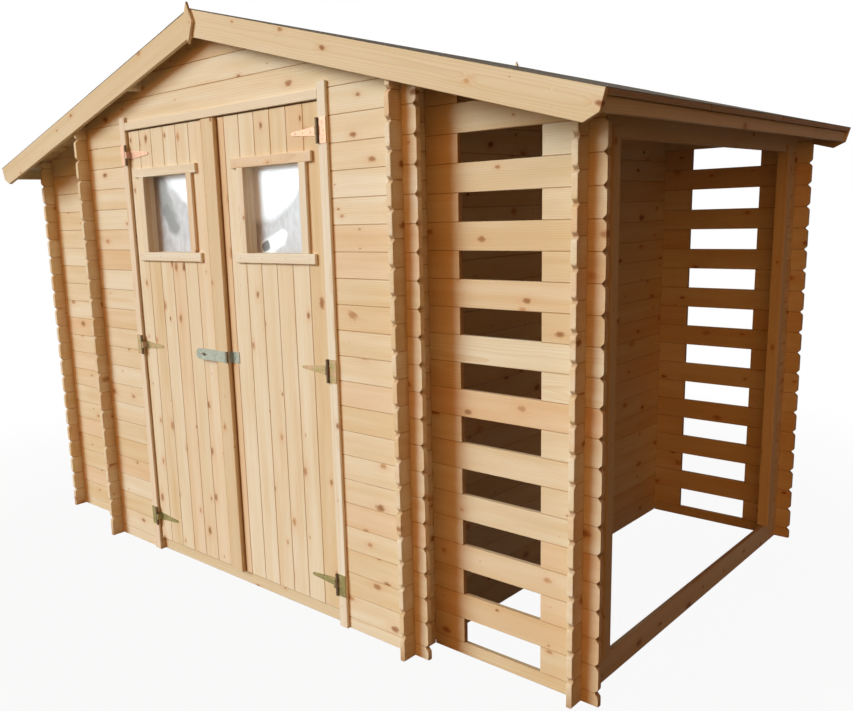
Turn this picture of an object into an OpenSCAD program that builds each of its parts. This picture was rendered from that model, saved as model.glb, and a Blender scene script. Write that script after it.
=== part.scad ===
// Garden shed of interlocking log boards with a log store at its right side.
// Millimetres, +Z up. The origin is on the ground under the middle of the
// building, the doors face -Y and the log store is on the +X side.

/* [Log boards] */
// Visible height of one log board
board_h = 88; // [70:1:120]
// Thickness of a log board
board_t = 19; // [14:0.5:28]
// How far board ends pass the wall that they cross
end_out = 57; // [45:1:90]
// Bevel on the corners of each free board end
end_cut = 12; // [4:0.5:18]
// Play in the cross-lap joints
lap_gap = 0.3; // [0.1:0.1:0.8]
// Depth of the V joint between two boards
v_cut = 2.2; // [1:0.1:4]

/* [Building] */
// Width of the middle room, outside to outside
shed_w = 1876; // [1700:1:2200]
// Depth of the middle room, outside to outside
shed_d = 1967; // [1700:1:2400]
// Width of each side bay, from the middle room's wall to its outer face
wing_w = 567; // [480:1:760]
// How far the bays stand back from the front and from the back
wing_set = 111; // [100:1:160]

/* [Roof] */
// Height of the roof boards at the ridge
ridge_h = 2230; // [2180:1:2400]
// Pitch of the roof
roof_pitch = 15.7; // [13:0.1:18]
// Overhang of the roof past the outer walls
eave_out = 143; // [110:1:200]
// Overhang of the roof past the front and back walls, bargeboard included
gable_out = 69; // [62:1:110]
// Thickness of the roof panels
deck_t = 16; // [12:0.5:22]
// Width of one board in the roof panels
deck_board = 95; // [70:1:140]
// Width of a roof panel
panel_w = 630; // [500:1:700]
// Gap between roof panels
panel_gap = 1.5; // [0.8:0.1:3]
// Thickness of the roofing felt
felt_t = 3; // [2:0.5:5]
// Width of a purlin
purlin_w = 40; // [30:1:60]
// Depth of a purlin
purlin_h = 70; // [50:1:90]
// Middle of the side purlins from the ridge
purlin_x = 470; // [380:1:560]

/* [Roof trim] */
// Width of the bargeboards
barge_w = 91; // [80:1:120]
// Thickness of the bargeboards
barge_t = 16; // [12:0.5:22]
// Corner cut at the foot of a bargeboard, measured across the board
foot_across = 33; // [15:1:50]
// Corner cut at the foot of a bargeboard, measured along the board
foot_along = 38; // [15:1:60]
// Height of the diamond plate at the ridge
finial_h = 144; // [110:1:170]
// Width of the diamond plate
finial_w = 60; // [40:1:80]
// Thickness of the diamond plate
finial_t = 12; // [8:0.5:18]
// How far the diamond plate stands above the ridge
finial_up = 24; // [10:1:40]
// Height of the eave boards
fascia_h = 42; // [30:1:60]
// Thickness of the eave boards
fascia_t = 16; // [12:0.5:22]
// How far the eave boards stand back from the roof edge
fascia_in = 18; // [10:1:40]

/* [Log store] */
// Length of the air slots
slot_w = 297; // [200:1:360]
// Clear width of the open side
bay_w = 1425; // [1000:1:1500]
// Width of the grooved posts beside the open side
post_w = 40; // [34:0.5:50]
// Thickness of the posts
post_t = 44; // [34:0.5:52]
// How far the posts pass the lower edge of the head board
post_up = 32; // [10:1:60]

/* [Door frame] */
// Width over the door frame
frame_w = 1248; // [1100:1:1320]
// Width of the frame's side posts
jamb_w = 40; // [34:0.5:50]
// How far the frame stands in front of the wall
frame_out = 12; // [8:0.5:20]
// How far the frame stands behind the wall
frame_in = 12; // [8:0.5:20]
// How far the side posts pass the head of the doorway
jamb_up = 22; // [10:1:30]
// Height of the head piece
header_h = 32; // [24:0.5:40]
// Height of the threshold
threshold_h = 48; // [40:0.5:56]
// Thickness of the threshold
threshold_t = 28; // [19:0.5:40]
// How far the threshold stands back from the front of the wall
threshold_in = 14; // [8:0.5:19]

/* [Doors] */
// Thickness of the door boards
leaf_t = 16; // [14:0.5:22]
// Width of a door board
leaf_board = 86; // [60:1:110]
// Width of the board at the hinged edge of a door
edge_board = 79.5; // [50:0.5:110]
// Gap round each door leaf
leaf_gap = 5; // [5:0.5:8]
// Gap between the threshold and the doors
leaf_lift = 10; // [6:0.5:16]
// Where the doors meet, from the middle
meet_x = 27; // [0:1:50]
// Width of the cover strip
strip_w = 74; // [40:1:90]
// Thickness of the cover strip
strip_t = 18; // [12:0.5:24]
// Height of the ledges behind the doors
ledge_h = 70; // [50:1:95]
// Thickness of the ledges
ledge_t = 16; // [12:0.5:22]
// Distance from a ledge's end to the edge of the leaf
ledge_in = 40; // [30:1:70]

/* [Door windows] */
// Width of a window
win_w = 300; // [200:1:340]
// Height of a window
win_h = 308; // [200:1:330]
// Lower edge of the windows, down from the head of the doorway
win_z = 503; // [460:1:560]
// Distance from the hinged edge of a leaf to its window
win_in = 102; // [80:1:130]
// Width of the window trims
trim_w = 36; // [28:1:44]
// Thickness of the window trims
trim_t = 12; // [8:0.5:16]
// How far the upper and lower trims pass the side trims
trim_over = 30; // [10:1:32]
// Depth of the frame behind each window
liner_d = 24; // [16:1:30]
// Thickness of the panes
pane_t = 3; // [2:0.5:5]

/* [Hinges and hasp] */
// Height of the lower hinges
hinge_low = 163; // [140:1:260]
// Middle hinges, down from the head of the doorway
hinge_mid = 905; // [760:1:1060]
// Upper hinges, down from the head of the doorway
hinge_top = 100; // [70:1:115]
// Length of the hinge plates
plate_h = 83; // [60:1:100]
// Width of the hinge plates
plate_w = 34; // [24:1:38]
// Thickness of the hinge metal
plate_t = 2.5; // [1.5:0.5:3.5]
// Outer diameter of the hinge barrels
barrel_d = 10; // [8:0.5:13]
// Diameter of the hinge pins
pin_d = 5; // [4:0.5:6]
// Play round pins and barrels
pin_gap = 0.5; // [0.3:0.1:0.8]
// Length of the hinge straps from the pin
strap_l = 146; // [110:1:180]
// Height of a strap at its root
strap_root = 34; // [26:1:40]
// Height of a strap at its tip
strap_tip = 11; // [6:1:16]
// Middle of the hasp, down from the head of the doorway
hasp_z = 907; // [860:1:960]
// Height of the hasp
hasp_h = 44; // [34:1:56]
// Thickness of the hasp
hasp_t = 2.5; // [1.5:0.5:3.5]
// Length of the hasp over the left door
hasp_l = 205; // [160:1:240]
// Outer diameter of the hasp's knuckle
hasp_knuckle = 12; // [8:0.5:14]
// Length of the slot in the hasp
hasp_slot = 42; // [30:1:60]
// Width of the slot in the hasp
hasp_slot_h = 9; // [7:0.5:12]
// Length of the keeper plate on the right door
staple_l = 46; // [36:1:60]

/* [Floor] */
// Thickness of the floor boards
floor_t = 16; // [14:0.5:22]
// Width of a floor board
floor_board = 110; // [80:1:150]
// Height of the floor's bearers
bearer_h = 30; // [24:1:32]
// Width of the floor's bearers
bearer_w = 45; // [30:1:70]
// Number of bearers
bearer_n = 5; // [3:1:7]
// Gap between the floor and the walls
floor_gap = 3; // [2:0.5:6]

/* [Hidden] */

// Outer faces of the walls
half_w = shed_w / 2;
half_d = shed_d / 2;
outer_x = half_w + wing_w;
wing_y = half_d - wing_set;

// Roof lines
eave_x = outer_x + eave_out;
roof_y = half_d + gable_out;
deck_y = roof_y - barge_t;
slope = tan(roof_pitch);
function roof_z(x) = ridge_h - abs(x) * slope;
function under_z(x) = roof_z(x) - deck_t / cos(roof_pitch);
function wall_z(x) = under_z(x) - lap_gap;

// Joints between boards: the front and back walls start with half a board
front_joint = board_h / 2;
side_joint = board_h;
courses = ceil(ridge_h / board_h);

// Each doorway and opening reaches up to a joint that leaves enough wall over it
room_wall_top = wall_z(half_w);
bay_wall_top = wall_z(outer_x);
gable_foot = wall_z(half_w + end_out) - board_h / 4 - end_cut;
door_top = front_joint + floor((gable_foot - front_joint) / board_h) * board_h;
jamb_x = frame_w / 2;
jamb_in_x = jamb_x - jamb_w;
head_z = door_top - header_h;

head_least = 1.3 * board_h;
store_top = floor((bay_wall_top - head_least) / board_h) * board_h;
left_top = (floor(room_wall_top / board_h) - 1) * board_h;
slot_x = (half_w + outer_x - board_t - slot_w) / 2;

// Doors
leaf_edge = jamb_in_x - leaf_gap;
leaf_z = threshold_h + leaf_lift;
leaf_top = head_z - leaf_gap;
left_meet = meet_x;
right_meet = meet_x + leaf_gap;
front_y = -half_d;
pin_x = jamb_in_x;
pin_y = front_y - frame_out - barrel_d / 2 - pin_gap;
hinge_heights = [hinge_low, head_z - hinge_mid, head_z - hinge_top];
win_low = head_z - win_z;
win_x = leaf_edge - win_in - win_w;
hasp_mid = head_z - hasp_z;
knuckle_h = plate_h / 3;
strap_bend = 8;
eye_d = 6;
eye_w = 24;
eye_out = 10;

wood = "burlywood";
pale_wood = "wheat";
zinc = "goldenrod";
steel = "silver";

// One end of a wall from bottom to top, bevelled above and below each joint
function on_joint(z, first) = abs((z - first) / board_h - round((z - first) / board_h)) < 0.001;
function end_foot(u, d, z, first) =
    z > 0 && on_joint(z, first) ? [[u - d * end_cut, z], [u, z + end_cut]] : [[u, z]];
function end_head(u, d, z, first) =
    on_joint(z, first) ? [[u, z - end_cut], [u - d * end_cut, z]] : [[u, z]];
function end_notches(u, d, z0, z1, first) = [
    for (k = [0:courses])
        let (z = first + k * board_h)
            if (z > z0 + 2 * end_cut && z < z1 - 2 * end_cut)
                each [[u, z - end_cut], [u - d * end_cut, z], [u, z + end_cut]]];
function free_end(u, d, z0, z1, first) =
    concat(end_foot(u, d, z0, first), end_notches(u, d, z0, z1, first), end_head(u, d, z1, first));
function plain_end(u, z0, z1) = [[u, z0], [u, z1]];
function turned(points) = [for (i = [len(points) - 1:-1:0]) points[i]];

// Openings in a wall where another wall's boards pass through it
module laps(starts, first) {
    for (u = starts)
        for (k = [-1:courses])
            translate([u - lap_gap, first + (k - 0.25) * board_h - lap_gap / 2])
                square([board_t + 2 * lap_gap, board_h / 2 + lap_gap]);
}

// Stand an elevation up as a wall along X with its front face at y
module along_x(y, t = board_t) {
    translate([0, y + t, 0])
        rotate([90, 0, 0])
            linear_extrude(t)
                children();
}

// Stand an elevation up as a wall along Y with its left face at x
module along_y(x, t = board_t) {
    translate([x, 0, 0])
        rotate([90, 0, 90])
            linear_extrude(t)
                children();
}

// One face of a row of boards: straight, with a V at each joint between two places
function v_face(face, d, first, pitch, from, to) = [
    for (k = [0:ceil((to - first) / pitch)])
        let (z = first + k * pitch)
            if (z > from + v_cut && z < to - v_cut)
                each [[face, z - v_cut], [face + d * v_cut, z], [face, z + v_cut]]];

// Section through a row of boards, with V joints on both faces
module board_section(t, first, pitch, from, to) {
    polygon(concat(
        [[0, from]],
        v_face(0, 1, first, pitch, from, to),
        [[0, to], [t, to]],
        turned(v_face(t, -1, first, pitch, from, to)),
        [[t, from]]));
}

// Log walls along X and along Y: an elevation with V joints between its boards
wall_top = ridge_h + board_h;

module logs_x(y) {
    intersection() {
        along_x(y)
            children();
        translate([-eave_x, y, 0])
            rotate([90, 0, 90])
                linear_extrude(2 * eave_x)
                    board_section(board_t, front_joint, board_h, -board_h, wall_top);
    }
}

module logs_y(x) {
    intersection() {
        along_y(x)
            children();
        translate([x, roof_y, 0])
            rotate([90, 0, 0])
                linear_extrude(2 * roof_y)
                    board_section(board_t, side_joint, board_h, -board_h, wall_top);
    }
}

// Pockets for the purlins in a gable
module purlin_pockets() {
    for (x = [-purlin_x, 0, purlin_x])
        translate([x - purlin_w / 2 - lap_gap, purlin_top(x) - purlin_h - lap_gap])
            square([purlin_w + 2 * lap_gap, purlin_h + board_h]);
}

function purlin_top(x) = under_z(abs(x) + purlin_w / 2);

// Front wall of the middle room: two panels beside the doorway and the gable
module front_panel() {
    end_x = half_w + end_out;
    start_x = jamb_in_x + jamb_w / 2;
    logs_x(front_y)
        difference() {
            polygon(concat(
                free_end(end_x, 1, 0, door_top, front_joint),
                turned(plain_end(start_x, 0, door_top))));
            laps([half_w - board_t], front_joint);
        }
}

module front_wall_right() {
    color(wood)
        front_panel();
}

module front_wall_left() {
    color(wood)
        mirror([1, 0, 0])
            front_panel();
}

// Outline of a gable wall from a height up to the roof
module gable_face(z0) {
    end_x = half_w + end_out;
    difference() {
        polygon(concat(
            free_end(end_x, 1, z0, wall_z(end_x), front_joint),
            [[0, wall_z(0)]],
            turned(free_end(-end_x, -1, z0, wall_z(end_x), front_joint))));
        laps([-half_w, half_w - board_t], front_joint);
        purlin_pockets();
    }
}

module front_gable() {
    color(wood)
        logs_x(front_y)
            gable_face(door_top);
}

module back_wall() {
    color(wood)
        logs_x(half_d - board_t)
            gable_face(0);
}

// Side walls of the middle room
front_laps = [front_y, -wing_y];
back_laps = [wing_y - board_t, half_d - board_t];

// The highest board ends are cut back behind the bargeboards
module barge_cuts() {
    low_z = roof_z(half_w) - barge_w / cos(roof_pitch) - lap_gap;
    for (y = [-deck_y + lap_gap - end_out, deck_y - lap_gap])
        translate([y, low_z])
            square([end_out, 2 * barge_w]);
}

module right_wall() {
    color(wood)
        logs_y(half_w - board_t)
            difference() {
                polygon(concat(
                    free_end(half_d + end_out, 1, 0, room_wall_top, side_joint),
                    turned(free_end(-half_d - end_out, -1, 0, room_wall_top, side_joint))));
                laps(concat(front_laps, back_laps), side_joint);
                barge_cuts();
            }
}

module left_return() {
    logs_y(-half_w)
        difference() {
            polygon(concat(
                free_end(-wing_y + board_t + end_out, 1, 0, left_top, side_joint),
                turned(free_end(front_y - end_out, -1, 0, left_top, side_joint))));
            laps(front_laps, side_joint);
        }
}

module left_returns() {
    color(wood) {
        left_return();
        mirror([0, 1, 0])
            left_return();
    }
}

module left_header() {
    color(wood)
        logs_y(-half_w)
            difference() {
                polygon(concat(
                    free_end(half_d + end_out, 1, left_top, room_wall_top, side_joint),
                    turned(free_end(-half_d - end_out, -1, left_top, room_wall_top, side_joint))));
                laps(concat(front_laps, back_laps), side_joint);
                barge_cuts();
            }
}

// Front and back walls of the bays, which end flush inside the middle room
module bay_face() {
    in_x = half_w - board_t;
    end_x = outer_x + end_out;
    difference() {
        polygon(concat(
            free_end(end_x, 1, 0, wall_z(end_x), front_joint),
            turned(plain_end(in_x, 0, wall_z(in_x)))));
        laps([in_x, outer_x - board_t], front_joint);
    }
}

module slots() {
    for (k = [0:2:courses])
        translate([slot_x, front_joint + k * board_h])
            square([slot_w, board_h]);
}

module left_bay_front() {
    color(wood)
        mirror([1, 0, 0])
            logs_x(-wing_y)
                bay_face();
}

module left_bay_back() {
    color(wood)
        mirror([1, 0, 0])
            logs_x(wing_y - board_t)
                bay_face();
}

module store_front_wall() {
    color(wood)
        logs_x(-wing_y)
            difference() {
                bay_face();
                slots();
            }
}

module store_back_wall() {
    color(wood)
        logs_x(wing_y - board_t)
            difference() {
                bay_face();
                slots();
            }
}

// Outer walls of the bays
bay_laps = [-wing_y, wing_y - board_t];
bay_end = wing_y + end_out;

module bay_side_face(z0, z1) {
    difference() {
        polygon(concat(
            free_end(bay_end, 1, z0, z1, side_joint),
            turned(free_end(-bay_end, -1, z0, z1, side_joint))));
        laps(bay_laps, side_joint);
    }
}

module left_bay_wall() {
    color(wood)
        logs_y(-outer_x)
            bay_side_face(0, bay_wall_top);
}

module store_sill() {
    color(wood)
        logs_y(outer_x - board_t)
            bay_side_face(0, board_h);
}

module store_header() {
    color(wood)
        logs_y(outer_x - board_t)
            bay_side_face(store_top, bay_wall_top);
}

module store_return() {
    logs_y(outer_x - board_t)
        difference() {
            polygon(concat(
                plain_end(-bay_w / 2 - post_w / 2, board_h, store_top),
                turned(free_end(-bay_end, -1, board_h, store_top, side_joint))));
            laps(bay_laps, side_joint);
        }
}

module store_returns() {
    color(wood) {
        store_return();
        mirror([0, 1, 0])
            store_return();
    }
}

// Posts between sill and header, grooved over the ends of the side boards
module store_post() {
    side = (post_t - board_t) / 2;
    post_h = store_top - board_h;
    translate([outer_x - board_t - side, bay_w / 2, board_h]) {
        difference() {
            cube([post_t, post_w, post_h - lap_gap]);
            translate([side - lap_gap, post_w / 2 - lap_gap, -post_h])
                cube([board_t + 2 * lap_gap, post_w, 3 * post_h]);
        }
        translate([side + board_t + lap_gap, 0, 0])
            cube([side - lap_gap, post_w, post_h + post_up]);
    }
}

module store_posts() {
    color(pale_wood) {
        store_post();
        mirror([0, 1, 0])
            store_post();
    }
}

// Roof panels, three on each side, with the felt over them
// Their undersides show a V joint between each two boards, counted up from the eave
module deck_profile() {
    up = [-cos(roof_pitch), sin(roof_pitch)];
    out = [sin(roof_pitch), cos(roof_pitch)];
    low_edge = [eave_x, roof_z(eave_x)] - deck_t * out;
    run = low_edge[0] / cos(roof_pitch);
    joints = v_face(0, 1, deck_board, deck_board, 0, run);
    polygon(concat(
        [[0, ridge_h], [eave_x, roof_z(eave_x)], low_edge],
        [for (p = joints) low_edge + p[1] * up + p[0] * out],
        [[0, under_z(0)]]));
}

panel_starts = [-deck_y, -deck_y + panel_w, -deck_y + 2 * panel_w];
panel_ends = [panel_starts[1] - panel_gap, panel_starts[2] - panel_gap, deck_y];

module roof_side() {
    for (i = [0:2])
        along_x(panel_starts[i], panel_ends[i] - panel_starts[i])
            deck_profile();
}

module roof_panels_right() {
    color(wood)
        roof_side();
}

module roof_panels_left() {
    color(wood)
        mirror([1, 0, 0])
            roof_side();
}

module roof_felt() {
    felt_z = felt_t / cos(roof_pitch);
    color("darkslategray")
        along_x(-roof_y, 2 * roof_y)
            polygon([
                [-eave_x, roof_z(eave_x)],
                [0, ridge_h],
                [eave_x, roof_z(eave_x)],
                [eave_x, roof_z(eave_x) + felt_z],
                [0, ridge_h + felt_z],
                [-eave_x, roof_z(eave_x) + felt_z]]);
}

module roof_purlins() {
    color(wood)
        for (x = [-purlin_x, 0, purlin_x])
            translate([x - purlin_w / 2, -deck_y, purlin_top(x) - purlin_h])
                cube([purlin_w, 2 * deck_y, purlin_h]);
}

// Bargeboards with a square foot and a cut lower corner
module barge_profile() {
    down = [-sin(roof_pitch), -cos(roof_pitch)];
    along = [-cos(roof_pitch), sin(roof_pitch)];
    foot = [eave_x, roof_z(eave_x)];
    polygon([
        [0, ridge_h],
        foot,
        foot + (barge_w - foot_across) * down,
        foot + barge_w * down + foot_along * along,
        [0, ridge_h - barge_w / cos(roof_pitch)]]);
}

module barge_pair() {
    along_x(-roof_y, barge_t)
        barge_profile();
    along_x(deck_y, barge_t)
        barge_profile();
}

module bargeboards_right() {
    color(pale_wood)
        barge_pair();
}

module bargeboards_left() {
    color(pale_wood)
        mirror([1, 0, 0])
            barge_pair();
}

module finials() {
    top_z = ridge_h + finial_up;
    color(pale_wood)
        for (y = [-roof_y - finial_t, roof_y])
            along_x(y, finial_t)
                polygon([
                    [0, top_z],
                    [finial_w / 2, top_z - finial_h / 2],
                    [0, top_z - finial_h],
                    [-finial_w / 2, top_z - finial_h / 2]]);
}

module eave_boards() {
    face_x = eave_x - fascia_in;
    color(wood)
        for (x = [-face_x, face_x - fascia_t])
            translate([x, -deck_y, under_z(face_x) - fascia_h])
                cube([fascia_t, 2 * deck_y, fascia_h]);
}

// Door frame, grooved over the ends of the wall boards
module jamb() {
    groove_x = jamb_in_x + jamb_w / 2 - lap_gap;
    front_face = front_y - frame_out;
    depth = frame_out + board_t + frame_in;
    difference() {
        translate([jamb_in_x, front_face, 0])
            cube([jamb_w, depth, door_top - lap_gap]);
        translate([groove_x, front_y - lap_gap, -board_h])
            cube([jamb_w, board_t + 2 * lap_gap, door_top + 2 * board_h]);
    }
    translate([jamb_in_x, front_face, 0])
        cube([jamb_w, frame_out - lap_gap, door_top + jamb_up]);
}

module door_jambs() {
    color(pale_wood) {
        jamb();
        mirror([1, 0, 0])
            jamb();
    }
}

module door_header() {
    color(pale_wood)
        translate([-jamb_in_x, front_y - frame_out, head_z])
            cube([2 * jamb_in_x, frame_out + board_t + frame_in, header_h - lap_gap]);
}

module threshold() {
    color(pale_wood)
        translate([-jamb_in_x, front_y + threshold_in, 0])
            cube([2 * jamb_in_x, threshold_t, threshold_h]);
}

// Floor of the closed rooms, on bearers
module floor_plan() {
    room_x = half_w - board_t - floor_gap;
    front_edge = front_y + threshold_in + threshold_t + lap_gap;
    back_edge = half_d - board_t - floor_gap;
    bay_y = wing_y - board_t - floor_gap;
    bay_x = outer_x - board_t - floor_gap;
    link_y = wing_y - board_t - end_out - floor_gap;
    translate([-room_x, front_edge])
        square([2 * room_x, back_edge - front_edge]);
    translate([-bay_x, -bay_y])
        square([bay_x - half_w - floor_gap, 2 * bay_y]);
    translate([-bay_x, -link_y])
        square([bay_x, 2 * link_y]);
}

module floor_boards() {
    color(wood)
        intersection() {
            translate([0, 0, bearer_h])
                linear_extrude(floor_t)
                    floor_plan();
            floor_joints();
        }
}

// Floor boards lie across the bearers, with a V joint between each two
module floor_joints() {
    first_joint = -outer_x + board_t + floor_gap + floor_board;
    translate([0, -half_d, bearer_h])
        rotate([0, -90, -90])
            linear_extrude(2 * half_d)
                board_section(floor_t, first_joint, floor_board, -outer_x, half_w);
}

module floor_bearers() {
    x0 = -outer_x + board_t + floor_gap;
    x1 = half_w - board_t - floor_gap;
    reach = wing_y - board_t - end_out - floor_gap - bearer_w;
    color(wood)
        for (i = [0:bearer_n - 1])
            translate([x0, -reach + 2 * reach * i / (bearer_n - 1) - bearer_w / 2, 0])
                cube([x1 - x0, bearer_w, bearer_h]);
}

// Hinge plates on the frame: plate, outer knuckles and pin
module hinge_plate(z) {
    translate([pin_x, 0, z - plate_h / 2]) {
        translate([0, front_y - frame_out - plate_t, 0])
            difference() {
                cube([barrel_d / 2 + plate_w, plate_t, plate_h]);
                translate([-1, -1, knuckle_h - pin_gap])
                    cube([barrel_d + 1 + pin_gap, plate_t + 2, knuckle_h + 2 * pin_gap]);
            }
        translate([0, pin_y, 0]) {
            cylinder(d = barrel_d, h = knuckle_h - pin_gap, $fn = 32);
            translate([0, 0, 2 * knuckle_h + pin_gap])
                cylinder(d = barrel_d, h = knuckle_h - pin_gap, $fn = 32);
            cylinder(d = pin_d, h = plate_h, $fn = 32);
        }
    }
}

module hinge_plates() {
    color(zinc)
        for (z = hinge_heights) {
            hinge_plate(z);
            mirror([1, 0, 0])
                hinge_plate(z);
        }
}

// Parts of a door leaf on the right; the left one is mirrored
module leaf(inner_x) {
    leaf_w = leaf_edge - inner_x;
    intersection() {
        along_x(front_y, leaf_t)
            difference() {
                translate([inner_x, leaf_z])
                    square([leaf_w, leaf_top - leaf_z]);
                translate([win_x, win_low])
                    square([win_w, win_h]);
            }
        translate([leaf_edge, front_y, 0])
            rotate([0, 0, 90])
                linear_extrude(head_z)
                    board_section(leaf_t, edge_board, leaf_board, -leaf_board, leaf_w + leaf_board);
    }
}

module ledges(inner_x) {
    for (z = hinge_heights)
        translate([inner_x + ledge_in, front_y + leaf_t, z - ledge_h / 2])
            cube([leaf_edge - inner_x - 2 * ledge_in, ledge_t, ledge_h]);
}

module window_frame() {
    along_x(front_y - trim_t, trim_t)
        difference() {
            union() {
                translate([win_x - trim_w, win_low - trim_w])
                    square([win_w + 2 * trim_w, win_h + 2 * trim_w]);
                for (z = [win_low - trim_w, win_low + win_h])
                    translate([win_x - trim_w - trim_over, z])
                        square([win_w + 2 * (trim_w + trim_over), trim_w]);
            }
            translate([win_x, win_low])
                square([win_w, win_h]);
        }
    along_x(front_y + leaf_t, liner_d)
        difference() {
            translate([win_x - trim_w, win_low - trim_w])
                square([win_w + 2 * trim_w, win_h + 2 * trim_w]);
            translate([win_x, win_low])
                square([win_w, win_h]);
        }
}

module pane() {
    translate([win_x - trim_w / 2, front_y + leaf_t + liner_d, win_low - trim_w / 2])
        cube([win_w + trim_w, pane_t, win_h + trim_w]);
}

// A strap: middle knuckle, bend onto the door and the tapered blade
module strap(z) {
    root_x = leaf_edge - strap_bend;
    tip_x = pin_x - strap_l;
    bar = knuckle_h - 2 * pin_gap;
    difference() {
        union() {
            translate([pin_x, pin_y, z - bar / 2])
                cylinder(d = barrel_d, h = bar, $fn = 32);
            translate([0, 0, z - bar / 2])
                linear_extrude(bar)
                    polygon([
                        [root_x, front_y],
                        [root_x - strap_bend, front_y],
                        [root_x - strap_bend, front_y - plate_t],
                        [root_x - plate_t, front_y - plate_t],
                        [root_x, pin_y - barrel_d / 2],
                        [pin_x, pin_y - barrel_d / 2],
                        [pin_x, pin_y],
                        [root_x + plate_t, pin_y]]);
            along_x(front_y - plate_t, plate_t)
                polygon([
                    [root_x, z - strap_root / 2],
                    [root_x, z + strap_root / 2],
                    [tip_x + strap_tip / 2, z + strap_tip / 2],
                    [tip_x, z],
                    [tip_x + strap_tip / 2, z - strap_tip / 2]]);
        }
        translate([pin_x, pin_y, z - plate_h])
            cylinder(d = pin_d + 2 * pin_gap, h = 2 * plate_h, $fn = 32);
    }
}

module straps() {
    for (z = hinge_heights)
        strap(z);
}

// Left door
module left_leaf() {
    color(wood)
        mirror([1, 0, 0])
            leaf(-left_meet);
}

module left_ledges() {
    color(wood)
        mirror([1, 0, 0])
            ledges(-left_meet);
}

module left_window_frame() {
    color(pale_wood)
        mirror([1, 0, 0])
            window_frame();
}

module left_pane() {
    color("lightblue", 0.4)
        mirror([1, 0, 0])
            pane();
}

module left_straps() {
    color(zinc)
        mirror([1, 0, 0])
            straps();
}

module cover_strip() {
    color(pale_wood)
        translate([left_meet - strip_w, front_y - strip_t, leaf_z])
            cube([strip_w, strip_t, leaf_top - leaf_z]);
}

// The hasp lies on the cover strip and reaches over an eye on the left door
module hasp_strap() {
    end_x = left_meet - hasp_l;
    mid_x = end_x + hasp_h / 2;
    face_y = front_y - strip_t;
    along_x(face_y - hasp_t, hasp_t)
        difference() {
            union() {
                translate([mid_x, hasp_mid])
                    circle(d = hasp_h, $fn = 64);
                translate([mid_x, hasp_mid - hasp_h / 2])
                    square([hasp_l - (hasp_h + hasp_knuckle) / 2, hasp_h]);
            }
            translate([mid_x, hasp_mid - hasp_slot_h / 2])
                square([hasp_slot, hasp_slot_h]);
        }
    translate([left_meet - hasp_knuckle / 2, face_y - hasp_knuckle / 2, hasp_mid - hasp_h / 2])
        cylinder(d = hasp_knuckle, h = hasp_h, $fn = 32);
}

module hasp_eye() {
    legs_x = left_meet - hasp_l + hasp_h / 2 + hasp_slot / 2;
    reach = strip_t + hasp_t + eye_out;
    for (x = [legs_x - eye_w / 2, legs_x + eye_w / 2])
        translate([x, front_y, hasp_mid])
            rotate([90, 0, 0])
                cylinder(d = eye_d, h = reach, $fn = 24);
    translate([legs_x - eye_w / 2, front_y - reach + eye_d / 2, hasp_mid])
        rotate([0, 90, 0])
            cylinder(d = eye_d, h = eye_w, $fn = 24);
}

module hasp() {
    color(steel) {
        hasp_strap();
        hasp_eye();
    }
}

// Right door
module right_leaf() {
    color(wood)
        leaf(right_meet);
}

module right_ledges() {
    color(wood)
        ledges(right_meet);
}

module right_window_frame() {
    color(pale_wood)
        window_frame();
}

module right_pane() {
    color("lightblue", 0.4)
        pane();
}

module right_straps() {
    color(zinc)
        straps();
}

// Keeper plate of the hasp, cranked up beside the cover strip
module staple() {
    color(steel)
        translate([right_meet, front_y, hasp_mid - hasp_h / 2])
            linear_extrude(hasp_h)
                polygon([
                    [0, 0],
                    [staple_l, 0],
                    [staple_l, -hasp_t],
                    [hasp_t, -hasp_t],
                    [hasp_t, -strip_t],
                    [0, -strip_t]]);
}

front_wall_left();
front_wall_right();
front_gable();
back_wall();
right_wall();
left_returns();
left_header();
left_bay_front();
left_bay_back();
left_bay_wall();
store_front_wall();
store_back_wall();
store_returns();
store_sill();
store_header();
store_posts();
roof_panels_left();
roof_panels_right();
roof_felt();
roof_purlins();
bargeboards_left();
bargeboards_right();
finials();
eave_boards();
door_jambs();
door_header();
threshold();
floor_boards();
floor_bearers();
hinge_plates();
left_leaf();
left_ledges();
left_window_frame();
left_pane();
left_straps();
cover_strip();
hasp();
right_leaf();
right_ledges();
right_window_frame();
right_pane();
right_straps();
staple();
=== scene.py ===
"""Looks of a garden shed of log boards with a log store, built round its CAD frame.

Every wooden piece is made of separate boards with eased edges. Each board carries its own grain
coordinates and three random numbers, which the pine material turns into grain, knots and tint.
"""
import math
import random

import bpy
import numpy as np
from mathutils import Euler, Matrix, Vector


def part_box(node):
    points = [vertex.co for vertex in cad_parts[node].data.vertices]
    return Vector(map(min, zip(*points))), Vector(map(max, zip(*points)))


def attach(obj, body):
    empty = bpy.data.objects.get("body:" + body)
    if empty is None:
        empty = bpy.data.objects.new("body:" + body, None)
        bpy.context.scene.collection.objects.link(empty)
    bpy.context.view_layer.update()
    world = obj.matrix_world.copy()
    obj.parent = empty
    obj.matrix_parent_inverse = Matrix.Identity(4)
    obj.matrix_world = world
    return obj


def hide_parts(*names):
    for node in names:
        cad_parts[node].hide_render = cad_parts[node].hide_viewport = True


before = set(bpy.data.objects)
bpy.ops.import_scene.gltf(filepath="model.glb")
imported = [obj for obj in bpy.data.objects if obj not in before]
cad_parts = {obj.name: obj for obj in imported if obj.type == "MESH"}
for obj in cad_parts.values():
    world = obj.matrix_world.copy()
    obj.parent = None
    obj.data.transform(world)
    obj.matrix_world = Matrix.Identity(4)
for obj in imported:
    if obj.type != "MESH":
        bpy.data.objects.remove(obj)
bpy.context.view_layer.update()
rng = random.Random(1404)

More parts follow.
